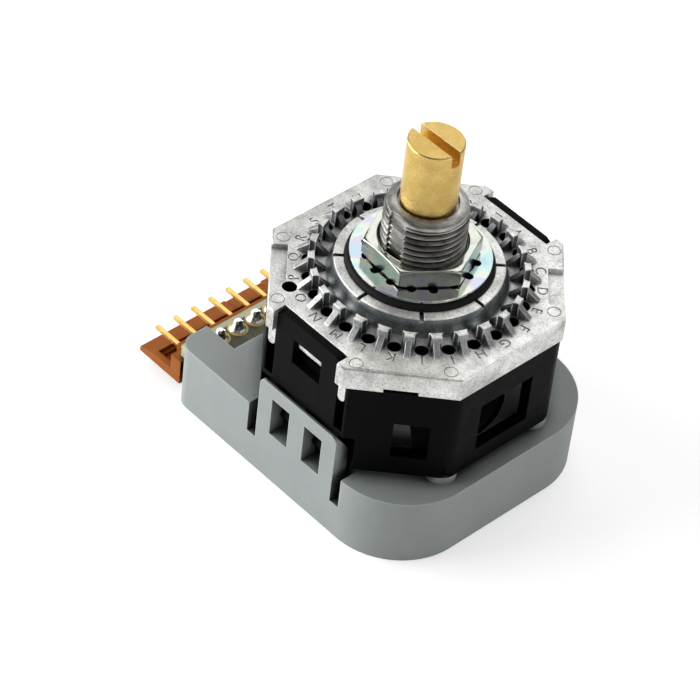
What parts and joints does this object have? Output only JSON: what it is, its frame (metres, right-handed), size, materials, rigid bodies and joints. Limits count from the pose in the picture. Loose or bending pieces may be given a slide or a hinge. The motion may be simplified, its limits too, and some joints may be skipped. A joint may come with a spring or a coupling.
{
  "type": "rotary code switch",
  "caption": "Panel-mounted rotary code switch: slotted shaft in a threaded bushing, die-cast index head, black frame, grey base with a right-angle pin connector.",
  "frame": {"origin": "on the shaft axis, at the top face of the head plate", "axes": "+Z along the shaft to its slotted end, +X to the rounded end of the base, -X to the connector"},
  "size_m": [0.0417, 0.0316, 0.0416],
  "materials": {
    "zinc_casting": "as cast, mottled",
    "nickel_plate": "plated",
    "zinc_plate": "zinc plated with a blue tint",
    "brass": "turned",
    "contact_gold": "gold plated",
    "spring_steel": "polished",
    "rubber_black": "matte",
    "plastic_black": "moulded",
    "plastic_grey": "moulded",
    "plastic_white": "moulded",
    "plastic_brown": "moulded",
    "board_green": "laminate with lacquer",
    "solder": "flowed"
  },
  "bodies": {
    "housing": {"head_casting": "zinc_casting", "hex_nut": "nickel_plate", "lock_washer": "zinc_plate", "panel_seal": "rubber_black", "detent_spring_front": "spring_steel", "detent_spring_rear": "spring_steel", "switch_frame": "plastic_black", "circuit_board": "board_green", "code_tracks": "contact_gold", "base_housing": "plastic_grey", "bottom_cover": "plastic_grey", "connector_header": "plastic_brown", "connector_pins": "contact_gold", "solder_joints": "solder"},
    "rotor": {"shaft": "brass", "shaft_seal": "rubber_black", "drive_spindle": "spring_steel", "retaining_ring": "spring_steel", "thrust_washer": "plastic_black", "stop_arm": "spring_steel", "detent_wheel": "plastic_black", "code_rotor": "plastic_white", "contact_brushes": "contact_gold"},
    "ball_front": {"detent_ball_front": "spring_steel"},
    "ball_rear": {"detent_ball_rear": "spring_steel"}
  },
  "joints": [
    {"name": "shaft_turn", "type": "hinge", "parent": "housing", "child": "rotor", "pos_m": [0, 0, 0], "axis": [0, 0, 1], "continuous": true},
    {"name": "ball_front_lift", "type": "slide", "parent": "housing", "child": "ball_front", "axis": [0, -1, 0], "range_m": [0, 0.0003], "stiffness_N_per_m": 300},
    {"name": "ball_rear_lift", "type": "slide", "parent": "housing", "child": "ball_rear", "axis": [0, 1, 0], "range_m": [0, 0.0003], "stiffness_N_per_m": 300}
  ]
}
